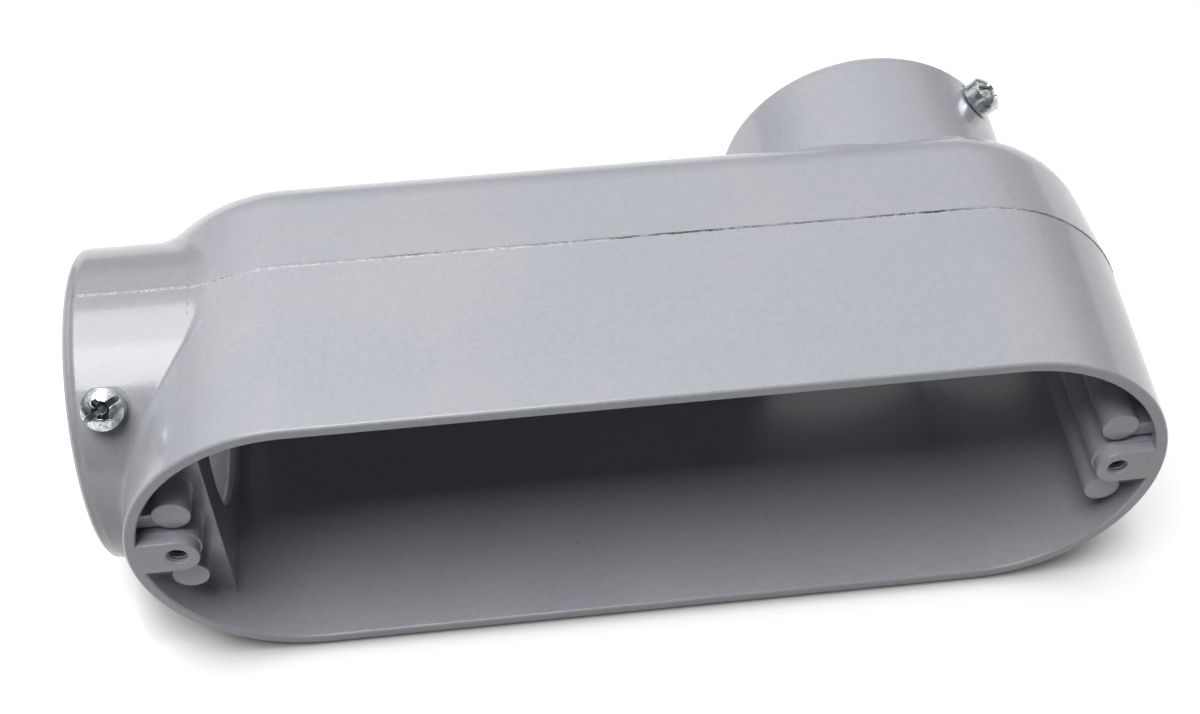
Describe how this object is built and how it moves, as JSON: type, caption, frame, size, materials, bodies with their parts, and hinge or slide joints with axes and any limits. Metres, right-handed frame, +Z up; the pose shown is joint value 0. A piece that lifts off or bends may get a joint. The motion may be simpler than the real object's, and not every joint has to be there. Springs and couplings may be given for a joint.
{
  "type": "conduit body",
  "caption": "Die-cast angle conduit body with its cover off: a long obround box open at the front, a set-screw hub on one end and another on its back.",
  "frame": {"origin": "middle of the whole part's footprint, on the floor it lies on", "axes": "+X along the box from the run hub towards the closed end, the cover opening faces -Y and the back hub +Y, +Z up from the long flat side it lies on"},
  "size_m": [0.3262, 0.1432, 0.1077],
  "materials": {
    "painted_casting": "satin grey paint over die-cast aluminium",
    "zinc_plated_steel": "bright zinc plate"
  },
  "bodies": {
    "casting": {"body_casting": "painted_casting"},
    "run_screw": {"run_hub_set_screw": "zinc_plated_steel"},
    "back_screw": {"back_hub_set_screw": "zinc_plated_steel"}
  },
  "joints": [
    {"name": "run_hub_set_screw_travel", "type": "slide", "parent": "casting", "child": "run_screw", "axis": [0, -0.6884, 0.7254], "range_m": [-0.0005, 0.0025]},
    {"name": "back_hub_set_screw_travel", "type": "slide", "parent": "casting", "child": "back_screw", "axis": [0.7314, 0, 0.682], "range_m": [-0.0005, 0.0025]}
  ]
}
